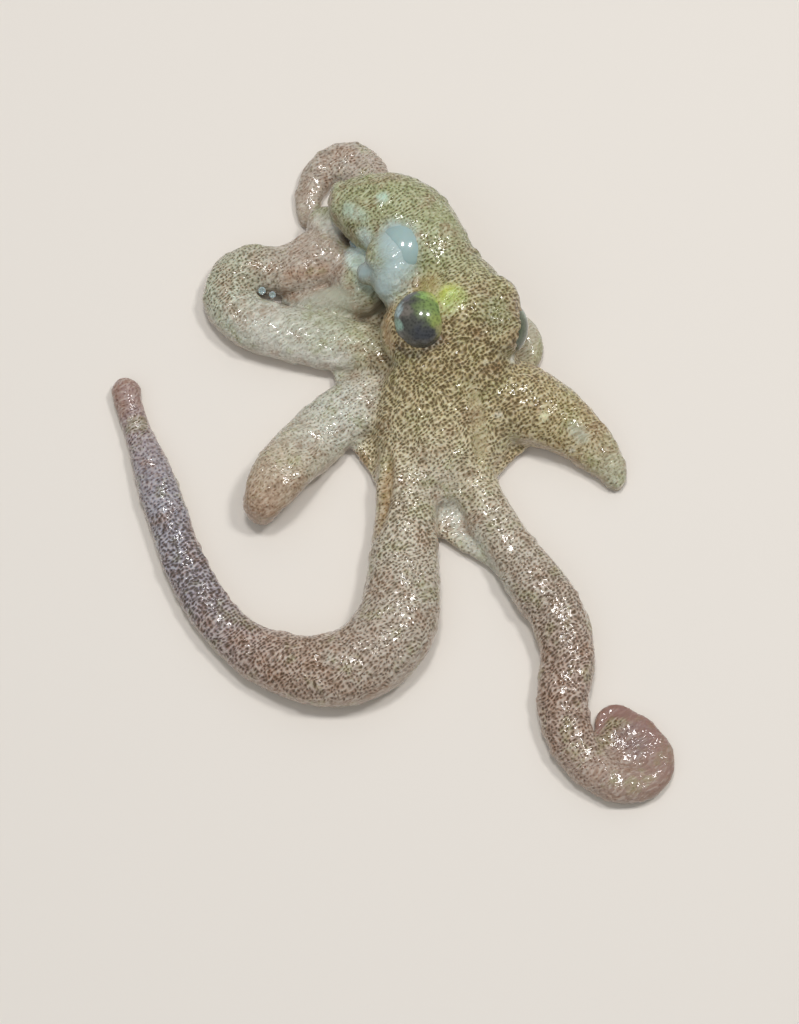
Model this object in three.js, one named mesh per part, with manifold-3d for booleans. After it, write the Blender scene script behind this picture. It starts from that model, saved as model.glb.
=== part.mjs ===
// A small young octopus lying on its arms, life size, as a still display model.
// Millimetres, +Z up. The origin is on the floor under the mouth. The mantle points to +Y
// and the two front arms run to -Y. Right and left are the animal's own, so its right
// side is at -X.
import * as THREE from "three";
import { mergeVertices } from "three/addons/utils/BufferGeometryUtils.js";
import Module from "manifold-3d";

const wasm = await Module();
wasm.setup();

// Driving dimensions
const gap = 0.1; // left between neighbouring pieces
const room = 0.14; // what is cut away from one piece round another
const crumb = 0.004; // edges and facets smaller than this are left out after a cut
const rootLength = 3.6; // how much of each arm belongs to the crown
const armFlatness = 0.8; // an arm's thickness as a share of its width
const pressed = 0.76; // its centre's height as a share of its half thickness
const webThickness = 0.5;
const webLift = 0.15; // the webs and the crown between the arms hang clear of the floor
const armSides = 10;
const bodySides = 24;
const ringsPerMillimetre = 0.55;
const ringsPerDegree = 0.03; // more rings where an arm bends
const routeStep = 0.1;

// The eight arms. root is where the centreline starts and heading its first direction in
// degrees from +X. Each bend is [length, turn to the left, turn upwards]. girth is the
// width at even steps from root to tip, and cuts are where the arm is divided.
const arms = [
  {
    name: "arm_r1", // front right: long, swept round in a wide bend to a blunt stub
    root: [-0.3, -1.0],
    heading: -103,
    bends: [[4, 12], [4.7, -3], [5, -92], [5.4, -51], [3.8, -15], [4.3, 3], [1.7, -4], [1.1, -42]],
    girth: [2.4, 2.5, 2.6, 3.0, 3.4, 3.2, 2.6, 2.0, 1.85, 1.75, 1.7, 1.2, 1.3],
    cuts: [9, 15, 21.5],
    colour: 0x8d7864,
  },
  {
    name: "arm_l1", // front left: ends in a flat coil
    root: [0.9, -1.0],
    heading: -79,
    bends: [
      [3.8, 14], [1.9, 5], [3.7, 6], [3.8, -50], [4.9, 79],
      [1.5, 57], [2, 99], [1.6, 13], [1.2, 102], [0.5, 46], [1.1, 59],
    ],
    girth: [2.1, 2.1, 2, 2.05, 2.4, 2.3, 2.2, 2, 1.75, 1.35, 0.8, 0.55, 0.5],
    cuts: [9, 14.4, 18],
    colour: 0x907963,
  },
  {
    name: "arm_r2", // short and blunt: its end is folded back underneath
    root: [-1.1, -0.1],
    heading: -161,
    bends: [[3.8, 26], [1.4, 7, 27], [1, 3], [1.2, 4, -27], [0.6, 2], [1.7, 0, -180], [2.2, 8]],
    girth: [2.3, 2.5, 2.6, 2.6, 2.5, 2.2, 1.3, 1, 0.5],
    cuts: [5.8, 7.8],
    flatness: 0.65,
    colour: 0x9a8568,
  },
  {
    name: "arm_r3", // bent back on itself beside the head
    root: [-0.9, 1.0],
    heading: 154,
    bends: [[2.3, 16], [3.8, -5], [1.7, -40], [2.8, -138], [2.1, 40], [2, -5]],
    girth: [2.3, 2.3, 2.4, 2.4, 2.3, 2.1, 2.1, 2.5, 2.3],
    cuts: [7, 11.4],
    colour: 0x87735f,
  },
  {
    name: "arm_r4", // runs under the mantle and loops back round its tip
    root: [0.1, 1.9],
    heading: 87,
    bends: [[2.5, 7], [0.4, 25], [5.6, -5], [1.4, 82], [1.5, 51], [2, 45]],
    girth: [1.2, 1.3, 1.5, 1.7, 2, 1.9, 1.35, 1.0],
    cuts: [8.3],
    flatness: 0.6,
    colour: 0x84746a,
  },
  {
    name: "arm_l2", // broad base and a short blunt end
    root: [1.5, -0.3],
    heading: -9,
    bends: [[3.4, -14], [1.8, -16], [1.6, -8], [0.9, -23], [0.5, -12]],
    girth: [3, 3.5, 3.4, 2.9, 2.3, 1.65, 1],
    cuts: [5.2, 6.8],
    colour: 0x8b8060,
  },
  {
    name: "arm_l3", // tucked under the left eye
    root: [1.9, 1.1],
    heading: -10,
    bends: [[1.5, 0], [1.8, 105], [1.5, 62], [1.2, 10]],
    girth: [1.3, 1.3, 1.2, 1, 0.6],
    cuts: [4.6],
    colour: 0x89836f,
  },
  {
    name: "arm_l4", // short, out of sight under the mantle
    root: [1.5, 2.1],
    heading: 87,
    bends: [[2.8, 4], [2.2, 24], [1.4, 40]],
    girth: [1.2, 1.2, 1.1, 0.9, 0.6],
    cuts: [],
    colour: 0x857560,
  },
];

// Webs between neighbouring arms: how far out along each arm the skin reaches, and how
// far the free edge is drawn in towards the mouth (0 straight, 1 right back to it).
const webs = [
  { between: ["arm_r1", "arm_l1"], reach: [5, 10.6], drawnIn: 0.12 },
  { between: ["arm_l1", "arm_l2"], reach: [4.4, 4.6], drawnIn: 0.15 },
  { between: ["arm_l2", "arm_l3"], reach: [4.2, 3.2], drawnIn: 0.15 },
  { between: ["arm_r2", "arm_r1"], reach: [3.5, 8.6], drawnIn: 0.4 },
  { between: ["arm_r3", "arm_r2"], reach: [4.2, 3.2], drawnIn: 0.3 },
  { between: ["arm_r4", "arm_r3"], reach: [4, 5.2], drawnIn: 0.1 },
];

// Mantle and head, from the mantle's tip to the brow: where each section stands, its half
// width, and the heights of its underside and its back.
const bodySections = [
  { at: [-4.05, 7.65], half: 0, under: 2.1, back: 2.1 },
  { at: [-3.5, 7.6], half: 1.0, under: 1.3, back: 3.1 },
  { at: [-2.35, 7.25], half: 1.7, under: 1.0, back: 3.7 },
  { at: [-1.0, 6.65], half: 1.95, under: 1.0, back: 4.0 },
  { at: [0.05, 5.4], half: 1.85, under: 1.0, back: 4.1 },
  { at: [0.85, 4.3], half: 1.6, under: 1.0, back: 3.9 },
  { at: [1.4, 3.1], half: 1.95, under: 1.0, back: 4.3 },
  { at: [1.5, 1.8], half: 2.15, under: 1.0, back: 4.5 },
  { at: [1.4, 0.5], half: 2.1, under: 1.0, back: 3.8 },
];
const neck = 5;
const brow = 8;

// The crown that carries the head and the arms: a low tent, flat underneath. Its flanks
// are drawn in where hollow is over 1.
const crownSections = [
  { at: [1.3, 0.5], half: 2.9, back: 3.85, hollow: 1 },
  { at: [1.1, -0.6], half: 3.3, back: 3.3, hollow: 1.1 },
  { at: [0.9, -1.9], half: 3.2, back: 2.7, hollow: 1.3 },
  { at: [0.7, -3.2], half: 2.6, back: 2.2, hollow: 1.4 },
  { at: [0.5, -4.4], half: 1.7, back: 1.7, hollow: 1.4 },
  { at: [0.5, -5.3], half: 0.8, back: 1.0, hollow: 1.4 },
];
const seat = { at: [1.1, 1.5], radius: 2.3, top: 0.9 }; // carries the back of the head
const lips = { at: [0.35, 0.5], radius: 0.85 }; // closed mouth, level with the arms' flats

// Eyes: each ball is sunk in a low mound of the head.
const eyes = [
  { name: "eye_right", at: [-0.15, 1.75, 3.5], size: [2.3, 2.5, 2.2] },
  { name: "eye_left", at: [3.15, 1.7, 2.8], size: [2.3, 2.5, 2.2] },
];
const moundSwell = 0.35; // how far the mound stands round the ball
const moundSunk = 0.5; // how far its centre lies nearer the head's middle
const headMiddle = [1.5, 1.8, 2.5];

// Siphon: a soft tube that lies back along the right flank of the mantle.
const siphon = {
  route: [[-0.75, 3.4, 2.2], [-1.15, 4.2, 3.1], [-1.25, 5, 3.55], [-1.1, 5.75, 3.8]],
  girth: [1.6, 2.1, 2.2, 1.7],
  flatness: 0.85,
  mouth: 0.5,
  depth: 0.7,
  rings: 7,
  sides: 14,
};

const { degToRad, radToDeg, clamp, lerp } = THREE.MathUtils;

// Catmull-Rom value of a list at a place t from 0 to its last index.
function smoothAt(values, t) {
  const last = values.length - 1;
  const i = Math.min(Math.floor(t), last - 1);
  const f = t - i;
  const [a, b, c, d] = [-1, 0, 1, 2].map((k) => values[clamp(i + k, 0, last)]);
  return b + 0.5 * f * (c - a + f * (2 * a - 5 * b + 4 * c - d + f * (3 * (b - c) + d - a)));
}

// Walks an arm's bends and keeps its place, heading and pitch every routeStep.
function routeOf(arm) {
  const place = new THREE.Vector3(...arm.root, 0);
  let heading = degToRad(arm.heading);
  let pitch = 0;
  const stops = [{ place: place.clone(), heading, pitch }];
  for (const [length, turn, climb = 0] of arm.bends) {
    const steps = Math.round(length / routeStep);
    const run = length / steps;
    for (let i = 0; i < steps; i++) {
      heading += degToRad(turn) / steps;
      pitch += degToRad(climb) / steps;
      place.x += run * Math.cos(pitch) * Math.cos(heading);
      place.y += run * Math.cos(pitch) * Math.sin(heading);
      place.z += run * Math.sin(pitch);
      stops.push({ place: place.clone(), heading, pitch });
    }
  }
  return stops;
}

// Half width of an arm at a distance along it, rounded off at the tip.
function halfWidthAt({ girth, length }, distance) {
  const half = 0.5 * smoothAt(girth, (distance / length) * (girth.length - 1));
  const tip = 0.5 * girth[girth.length - 1];
  const past = clamp(1 - (length - distance) / tip, 0, 1);
  return half * Math.sqrt(1 - past * past);
}

// Centre, side and up directions of an arm's section, with its half width and thickness.
function armSection(arm, distance, grow) {
  const { stops, length, flatness = armFlatness } = arm;
  const share = clamp(distance / length, 0, 1) * (stops.length - 1);
  const i = Math.min(Math.floor(share), stops.length - 2);
  const [before, after] = [stops[i], stops[i + 1]];
  const heading = lerp(before.heading, after.heading, share - i);
  const pitch = lerp(before.pitch, after.pitch, share - i);
  const half = halfWidthAt(arm, distance);
  const centre = before.place.clone().lerp(after.place, share - i);
  centre.z += half * flatness * pressed;
  return {
    centre,
    side: new THREE.Vector3(Math.sin(heading), -Math.cos(heading), 0),
    up: new THREE.Vector3(Math.cos(heading), Math.sin(heading), 0)
      .multiplyScalar(-Math.sin(pitch))
      .setZ(Math.cos(pitch)),
    half: half + grow,
    thick: half * flatness + grow,
  };
}

// Lays a unit lathe along a run of sections and presses flat what would be under the floor.
function shapeAlong(geometry, sectionOf) {
  const points = geometry.getAttribute("position");
  const vertex = new THREE.Vector3();
  for (let i = 0; i < points.count; i++) {
    vertex.fromBufferAttribute(points, i);
    const { centre, side, up, half, thick } = sectionOf(vertex.y);
    centre.addScaledVector(side, vertex.x * half).addScaledVector(up, vertex.z * thick);
    points.setXYZ(i, centre.x, centre.y, Math.max(centre.z, 0));
  }
  return geometry;
}

// A lathe of radius 1 with a ring at each of the given places, closed on the axis.
function unitLathe(places, sides) {
  const rim = places.map((place) => new THREE.Vector2(1, place));
  const [first, last] = [rim[0], rim[rim.length - 1]];
  const profile = [new THREE.Vector2(0, first.y), ...rim, new THREE.Vector2(0, last.y)];
  return new THREE.LatheGeometry(profile, sides);
}

function evenly(from, to, steps) {
  return Array.from({ length: steps + 1 }, (_, i) => lerp(from, to, i / steps));
}

// How far an arm turns sideways and upwards between two distances along it
function turnBetween({ stops }, from, to) {
  const stopAt = (distance) => stops[clamp(Math.round(distance / routeStep), 0, stops.length - 1)];
  const [start, end] = [stopAt(from), stopAt(to)];
  return Math.abs(end.heading - start.heading) + Math.abs(end.pitch - start.pitch);
}

// One length of an arm, made bigger all round by grow; the last one has a rounded tip.
function armPiece(arm, from, to, grow = 0) {
  const isTip = to >= arm.length;
  const tip = 0.5 * arm.girth[arm.girth.length - 1];
  const bend = radToDeg(turnBetween(arm, from, to));
  const steps = Math.round(3 + (to - from) * ringsPerMillimetre + bend * ringsPerDegree);
  const places = evenly(from, isTip ? arm.length - tip : to, steps);
  if (isTip) places.push(arm.length - 0.35 * tip, arm.length - 0.05 * tip);
  return shapeAlong(unitLathe(places, armSides), (place) => armSection(arm, place, grow));
}

// A stretch of mantle or head between two section numbers.
function bodyPiece(from, to, grow = 0) {
  const column = (key) => bodySections.map((section) => section[key]);
  const xs = bodySections.map(({ at }) => at[0]);
  const ys = bodySections.map(({ at }) => at[1]);
  const sectionOf = (t) => {
    const before = Math.max(t - 0.05, 0);
    const after = Math.min(t + 0.05, brow);
    const ahead = new THREE.Vector2(
      smoothAt(xs, after) - smoothAt(xs, before),
      smoothAt(ys, after) - smoothAt(ys, before),
    ).normalize();
    const round = t < 1 ? Math.sqrt(t * (2 - t)) : 1; // the mantle's blunt tip
    const inner = Math.max(t, 1);
    const [under, back] = [smoothAt(column("under"), inner), smoothAt(column("back"), inner)];
    return {
      centre: new THREE.Vector3(smoothAt(xs, t), smoothAt(ys, t), 0.5 * (under + back)),
      side: new THREE.Vector3(ahead.y, -ahead.x, 0),
      up: new THREE.Vector3(0, 0, 1),
      half: smoothAt(column("half"), inner) * round + grow,
      thick: 0.5 * (back - under) * round + grow,
    };
  };
  const places = evenly(Math.max(from, 0.02), to, Math.round((to - from) * 2.4));
  if (from === 0) places.splice(1, 0, 0.1, 0.22);
  return shapeAlong(unitLathe(places, bodySides), sectionOf);
}

// The crown's tent over its flat floor, and the seat behind it that the head rests on.
function crownTent() {
  const last = crownSections.length - 1;
  const tent = unitLathe(evenly(0, last, 10), bodySides);
  const points = tent.getAttribute("position");
  const xs = crownSections.map(({ at }) => at[0]);
  const ys = crownSections.map(({ at }) => at[1]);
  const halves = crownSections.map(({ half }) => half);
  const backs = crownSections.map(({ back }) => back);
  const hollows = crownSections.map(({ hollow }) => hollow);
  for (let i = 0; i < points.count; i++) {
    const t = points.getY(i);
    const across = points.getX(i);
    const up = Math.max(points.getZ(i), 0) ** smoothAt(hollows, t);
    const isFloor = points.getZ(i) < 1e-6;
    const height = lerp(webLift + webThickness, smoothAt(backs, t), up);
    const x = smoothAt(xs, t) - across * smoothAt(halves, t);
    points.setXYZ(i, x, smoothAt(ys, t), isFloor ? webLift : height);
  }
  return tent;
}

function upright(at, radius, from, to) {
  const cylinder = new THREE.CylinderGeometry(radius, radius, to - from, bodySides);
  return cylinder.rotateX(Math.PI / 2).translate(at[0], at[1], 0.5 * (from + to));
}

function ball(at, size) {
  return new THREE.SphereGeometry(0.5, 18, 10).scale(...size).translate(...at);
}

function eyeBall({ at, size }, grow = 0) {
  return ball(at, size.map((s) => s + 2 * grow));
}

function eyeMound({ at, size }, grow = 0) {
  const centre = new THREE.Vector3(...at);
  const inwards = new THREE.Vector3(...headMiddle).sub(centre).setLength(moundSunk);
  const swell = 2 * (moundSwell + grow);
  return ball(centre.add(inwards).toArray(), size.map((s) => s + swell));
}

// A flat web: out along both arms from the mouth, with its free edge drawn inwards.
function webSheet({ between, reach, drawnIn }) {
  const [first, second] = between.map((name, i) => {
    const arm = arms.find((each) => each.name === name);
    return evenly(0.4, reach[i], 6).map((distance) => {
      const { centre } = armSection(arm, distance, 0);
      return new THREE.Vector2(centre.x, centre.y);
    });
  });
  const end = second[second.length - 1];
  const pull = end.clone().add(first[first.length - 1]).multiplyScalar(0.5 * (1 - drawnIn));
  const shape = new THREE.Shape();
  shape.setFromPoints(first);
  shape.quadraticCurveTo(pull.x, pull.y, end.x, end.y);
  for (const point of second.reverse().slice(1)) shape.lineTo(point.x, point.y);
  const options = { depth: webThickness, bevelEnabled: false, curveSegments: 6 };
  return new THREE.ExtrudeGeometry(shape, options).translate(0, 0, webLift);
}

// The siphon with a blind mouth, or its room in the mantle when it is grown.
function siphonTube(grow = 0) {
  const curve = new THREE.CatmullRomCurve3(siphon.route.map((at) => new THREE.Vector3(...at)));
  const length = curve.getLength();
  const sectionOf = (t) => {
    const on = clamp(t, 0, 1);
    const ahead = curve.getTangentAt(on);
    const side = new THREE.Vector3(ahead.y, -ahead.x, 0).normalize();
    const half = 0.5 * smoothAt(siphon.girth, on * (siphon.girth.length - 1)) + grow;
    return {
      centre: curve.getPointAt(on).addScaledVector(ahead, (t - on) * length),
      side,
      up: side.clone().cross(ahead),
      half,
      thick: half * siphon.flatness,
    };
  };
  const [start, end] = [-grow / length, 1 + grow / length];
  const profile = [
    new THREE.Vector2(0, start),
    ...evenly(start, end, siphon.rings).map((t) => new THREE.Vector2(1, t)),
  ];
  if (!grow) {
    const floor = 1 - siphon.depth / length;
    profile.push(new THREE.Vector2(siphon.mouth, 1), new THREE.Vector2(siphon.mouth, floor));
    profile.push(new THREE.Vector2(0, floor));
  } else profile.push(new THREE.Vector2(0, end));
  return shapeAlong(new THREE.LatheGeometry(profile, siphon.sides), sectionOf);
}

// three.js geometry to a manifold-3d solid, and the finished solid to a named mesh
function solid(geometry) {
  geometry.deleteAttribute("normal");
  geometry.deleteAttribute("uv");
  const merged = mergeVertices(geometry, 1e-4);
  return new wasm.Manifold(
    new wasm.Mesh({
      numProp: 3,
      vertProperties: merged.getAttribute("position").array,
      triVerts: new Uint32Array(merged.index.array),
    }),
  );
}

function meshOf(name, made, color, roughness = 0.35) {
  const { vertProperties, triVerts } = made.simplify(crumb).getMesh();
  const geometry = new THREE.BufferGeometry();
  geometry.setAttribute("position", new THREE.BufferAttribute(vertProperties, 3));
  geometry.setIndex(new THREE.BufferAttribute(triVerts, 1));
  geometry.computeVertexNormals();
  const mesh = new THREE.Mesh(geometry, new THREE.MeshStandardMaterial({ color, roughness }));
  mesh.name = name;
  return mesh;
}

for (const arm of arms) {
  arm.stops = routeOf(arm);
  arm.length = (arm.stops.length - 1) * routeStep;
}

const octopus = new THREE.Group();
const add = (name, made, colour) => octopus.add(meshOf(name, made, colour));

let head = solid(bodyPiece(neck + 0.04, brow - 0.04));
let headRoom = solid(bodyPiece(neck, brow + 0.04, room));
for (const eye of eyes) {
  head = head.add(solid(eyeMound(eye)));
  headRoom = headRoom.add(solid(eyeMound(eye, room)));
}
for (const eye of eyes) head = head.subtract(solid(eyeBall(eye, gap)));
head = head.subtract(solid(siphonTube(room)));

const mantle = solid(bodyPiece(0, neck - 0.04)).subtract(solid(siphonTube(room)));

let crown = solid(crownTent());
crown = crown.add(solid(upright(seat.at, seat.radius, webLift, seat.top)));
crown = crown.add(solid(upright(lips.at, lips.radius, 0, seat.top)));
for (const arm of arms) crown = crown.add(solid(armPiece(arm, 0, rootLength)));
for (const web of webs) crown = crown.add(solid(webSheet(web)));
crown = crown.subtract(headRoom);

const lengths = [];
for (const arm of arms) {
  const stops = [rootLength, ...arm.cuts, arm.length];
  const labels = ["base", "middle", "outer", "tip"];
  for (let i = 0; i + 1 < stops.length; i++) {
    const [from, to] = [stops[i], stops[i + 1]];
    const label = to === arm.length ? "tip" : labels[i];
    const made = solid(armPiece(arm, from + gap, to));
    lengths.push({ name: `${arm.name}_${label}`, made, colour: arm.colour });
    const roomFrom = i === 0 ? from : from - room;
    const roomTo = to === arm.length ? to : to + room;
    crown = crown.subtract(solid(armPiece(arm, roomFrom, roomTo, room)));
  }
}

add("mantle", mantle, 0x77704a);
add("head", head, 0x7d6f4e);
add("crown", crown, 0x93805f);
for (const eye of eyes) add(eye.name, solid(eyeBall(eye)), 0x23291f);
add("siphon", solid(siphonTube()), 0x9fb3ac);
for (const { name, made, colour } of lengths) add(name, made, colour);

export default octopus;
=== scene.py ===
# A small young octopus lying on its arms, as a still display model. One wet skin covers the
# flesh, with suckers under the arms, a siphon and two eyes, on a pale floor in soft light.
# Shapes are worked out in millimetres in the part's own frame, and a finished piece is
# brought to metres.
import math

import bmesh
import bpy
import numpy as np
from mathutils import Matrix, Vector, noise


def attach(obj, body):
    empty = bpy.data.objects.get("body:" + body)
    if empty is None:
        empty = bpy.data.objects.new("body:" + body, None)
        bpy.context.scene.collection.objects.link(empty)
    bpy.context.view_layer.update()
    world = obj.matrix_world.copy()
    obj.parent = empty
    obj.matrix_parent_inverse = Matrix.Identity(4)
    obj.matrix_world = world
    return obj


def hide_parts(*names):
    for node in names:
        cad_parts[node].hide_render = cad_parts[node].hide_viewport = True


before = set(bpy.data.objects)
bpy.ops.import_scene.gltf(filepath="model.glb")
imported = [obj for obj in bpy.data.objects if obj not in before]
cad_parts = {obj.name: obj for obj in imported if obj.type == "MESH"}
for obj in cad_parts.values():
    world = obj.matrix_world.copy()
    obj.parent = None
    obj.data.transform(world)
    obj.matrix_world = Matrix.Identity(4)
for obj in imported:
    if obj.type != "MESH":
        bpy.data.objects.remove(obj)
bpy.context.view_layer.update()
millimetre = 0.001
fleshNodes = [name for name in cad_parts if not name.startswith("eye") and name != "siphon"]
print("frame loaded:", len(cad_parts), "nodes")

# The flesh's tones as a maker would mix them. The limbs, the body and the patches name
# them.
fleshTones = {
    "tan": "a29268", "paleTan": "b4a680", "sand": "ada28c", "olive": "92946a", "greyOlive": "a0a088",
    "clearGrey": "b2b0a2", "greyBrown": "a09282", "brown": "967f70", "mauveBrown": "8c6c62",
    # milkyGlint is pale skin painted up to the white of wet glints, partly a painted highlight
    "greyLilac": "8a8288", "rust": "a07c60", "palest": "d0ccc0", "milkyGlint": "f0f2ea", "cream": "e6e4b8",
    "mint": "b8d0bc", "paleBlue": "ccded8", "siphonBlue": "a8bab8", "yellowGreen": "b8c24c",
    "leafGreen": "a0b060", "gold": "aa9a56", "ochre": "9a7a48", "umber": "4a4438",
    # shadedMauve is the coil pit's mauve darkened with painted shade
    "darkOlive": "6e7244", "darkGreen": "485a40", "shadedMauve": "705450",
}
# The eight arms, laid as the solids are. root is where the middle line starts and heading its
# first direction in degrees from +X. Each bend is (length, turn to the left, turn upwards).
# girth is the width, tones name the flesh's tones and dots is the crowding of the dark spots,
# all at even steps from root to tip.
arms = {
    "armR1": {
        "root": (-0.3, -1), "heading": -103,
        "bends": [(4, 12), (4.7, -3), (5, -92), (5.4, -51), (3.8, -15), (4.3, 3), (1.7, -4), (1.1, -42)],
        "girth": [2.4, 2.5, 2.6, 3, 3.4, 3.2, 2.6, 2, 1.85, 1.75, 1.7, 1.2, 1.3],
        "tones": ["tan", "sand", "greyBrown", "brown", "greyLilac", "greyLilac", "mauveBrown"],
        "dots": [0.6, 0.7, 0.9, 0.75, 0.7, 0.75, 0.85, 0.85, 1, 0.9, 0.6, 0.6, 0.3],
    },
    "armL1": {
        "root": (0.9, -1), "heading": -79,
        "bends": [
            (3.8, 14), (1.9, 5), (3.7, 6), (3.8, -50), (4.9, 79), (1.5, 57), (2, 99), (1.6, 13),
            (1.2, 102), (0.5, 46), (1.1, 59),
        ],
        "girth": [2.1, 2.1, 2, 2.05, 2.4, 2.3, 2.2, 2, 1.75, 1.35, 0.8, 0.55, 0.5],
        "tones": ["tan", "sand", "greyBrown", "brown", "brown", "mauveBrown", "mauveBrown"],
        "dots": [0.6, 0.7, 0.7, 0.75, 0.85, 0.8, 0.75, 0.3, 0.15, 0.1, 0.15],
    },
    "armR2": {
        "root": (-1.1, -0.1), "heading": -161,
        "bends": [(3.8, 26), (1.4, 7, 27), (1, 3), (1.2, 4, -27), (0.6, 2), (1.7, 0, -180), (2.2, 8)],
        "girth": [2.3, 2.5, 2.6, 2.6, 2.5, 2.2, 1.3, 1, 0.5],
        "flatness": 0.65,
        "tones": ["sand", "clearGrey", "sand", "rust", "rust"],
        "dots": [0.6, 0.55, 0.5, 0.5, 0.35, 0.3],
    },
    "armR3": {
        "root": (-0.9, 1), "heading": 154,
        "bends": [(2.3, 16), (3.8, -5), (1.7, -40), (2.8, -138), (2.1, 40), (2, -5)],
        "girth": [2.3, 2.3, 2.4, 2.4, 2.3, 2.1, 2.1, 2.5, 2.3],
        "tones": ["tan", "greyOlive", "clearGrey", "greyOlive", "greyBrown", "greyBrown"],
        "dots": [0.6, 0.5, 0.4, 0.4, 0.7, 0.6, 0.45, 0.3],
    },
    "armR4": {
        "root": (0.1, 1.9), "heading": 87,
        "bends": [(2.5, 7), (0.4, 25), (5.6, -5), (1.4, 82), (1.5, 51), (2, 45)],
        "girth": [1.2, 1.3, 1.5, 1.7, 2, 1.9, 1.35, 1],
        "flatness": 0.6,
        "tones": ["tan", "greyBrown", "greyBrown"],
        "dots": [0.4, 0.4, 0.4, 0.5, 0.55, 0.5, 0.3],
    },
    "armL2": {
        "root": (1.5, -0.3), "heading": -9,
        "bends": [(3.4, -14), (1.8, -16), (1.6, -8), (0.9, -23), (0.5, -12)],
        "girth": [3, 3.5, 3.4, 2.9, 2.3, 1.65, 1],
        "tones": ["tan", "tan", "tan", "greyOlive"],
        "dots": [0.8, 0.85, 0.8, 0.75, 0.7, 0.5, 0.5],
    },
    "armL3": {
        "root": (1.9, 1.1), "heading": -10,
        "bends": [(1.5, 0), (1.8, 105), (1.5, 62), (1.2, 10)],
        "girth": [1.3, 1.3, 1.2, 1, 0.6],
        "tones": ["tan", "clearGrey"],
        "dots": [0.5, 0.3, 0.3],
    },
    "armL4": {
        "root": (1.5, 2.1), "heading": 87,
        "bends": [(2.8, 4), (2.2, 24), (1.4, 40)],
        "girth": [1.2, 1.2, 1.1, 0.9, 0.6],
        "tones": ["greyBrown", "greyBrown"],
        "dots": [0.4, 0.4, 0.4],
    },
}
armShape = {"flatness": 0.8, "pressed": 0.76, "routeStep": 0.1, "ringStep": 0.22, "sides": 20}
# A fold of clear skin that fills the bend of the third right arm, laid like an arm.
folds = {
    "foldR3": {
        "root": (-6.1, 3.95), "heading": -14,
        "bends": [(2.2, 14), (2.4, 22)],
        "girth": [0.3, 0.9, 1.3, 1.4, 1.2],
        "flatness": 1.3,
        "tones": ["clearGrey", "greyOlive"],
        "dots": [0.05, 0.05, 0.1],
    },
}

# Mantle and head from the mantle's tip to the brow: place, half width, underside and back.
body = {
    "sections": [
        (-4.05, 7.65, 0.02, 2.08, 2.12), (-3.5, 7.6, 1.0, 1.3, 3.1), (-2.35, 7.25, 1.7, 1.0, 3.7),
        (-1.0, 6.65, 1.95, 1.0, 4.0), (0.05, 5.4, 1.85, 1.0, 4.1), (0.85, 4.3, 1.6, 1.0, 3.9),
        (1.4, 3.1, 1.95, 1.0, 4.3), (1.5, 1.8, 2.15, 1.0, 4.5), (1.4, 0.5, 2.1, 1.0, 3.8),
        (1.3, -0.6, 1.8, 0.8, 3.2),
    ],
    "sides": 40,
    "ringsPerSection": 6,
    "tones": ["greyOlive", "olive", "olive", "olive", "tan", "tan"],
    "dots": [0.5, 0.55, 0.65, 0.65, 0.65, 0.7, 0.8, 0.85, 0.95, 0.95],
}
# The crown between the arms' roots: place, half width, back and how hollow its flanks are.
crown = {
    "sections": [
        (1.2, 2.6, 1.6, 1.3, 1.0), (1.25, 1.5, 2.4, 2.8, 1.0), (1.3, 0.5, 2.85, 3.8, 1.0),
        (1.1, -0.6, 3.25, 3.25, 1.1), (0.9, -1.9, 3.2, 2.7, 1.3), (0.7, -3.2, 2.6, 2.2, 1.4),
        (0.5, -4.4, 1.7, 1.7, 1.4), (0.5, -5.3, 0.8, 1.0, 1.4),
    ],
    "sides": 40,
    "ringsPerSection": 5,
    "floor": 0.15,
    "web": 0.45,
    "tones": ["tan", "tan", "tan", "paleTan", "sand", "sand"],
    "dots": [0.8, 0.8, 1.0, 1.0, 0.9, 0.75, 0.6, 0.4],
}
# Webs between neighbouring arms: how far along each arm they reach and how far the free edge
# is drawn in.
webs = [
    ("armR1", "armL1", 5, 10.5, 0.12), ("armL1", "armL2", 4.4, 4.6, 0.15),
    ("armL2", "armL3", 4.2, 3.2, 0.15), ("armR2", "armR1", 3.5, 8.4, 0.4),
    ("armR3", "armR2", 4.2, 3.2, 0.3), ("armR4", "armR3", 4, 5, 0.1),
]
webShape = {"bottom": 0.17, "thickness": 0.4, "steps": 8}
# The right eye stands clear of the skin in a low socket; the left one looks out sideways from
# under its lid. A lid is a mound given by its middle from the ball's and its full size.
eyes = {
    "eyeRight": {
        "node": "eye_right", "at": (-0.15, 1.75, 3.5), "size": (2.3, 2.5, 2.2),
        "lidMoved": (0.0, 0.0, -0.6), "lidSize": (3.05, 3.2, 2.2),
    },
    "eyeLeft": {
        "node": "eye_left", "at": (3.15, 1.7, 2.8), "size": (2.3, 2.5, 2.2),
        "lidMoved": (-0.35, 0.03, 0.12), "lidSize": (2.75, 3.0, 2.45),
    },
}
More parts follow.
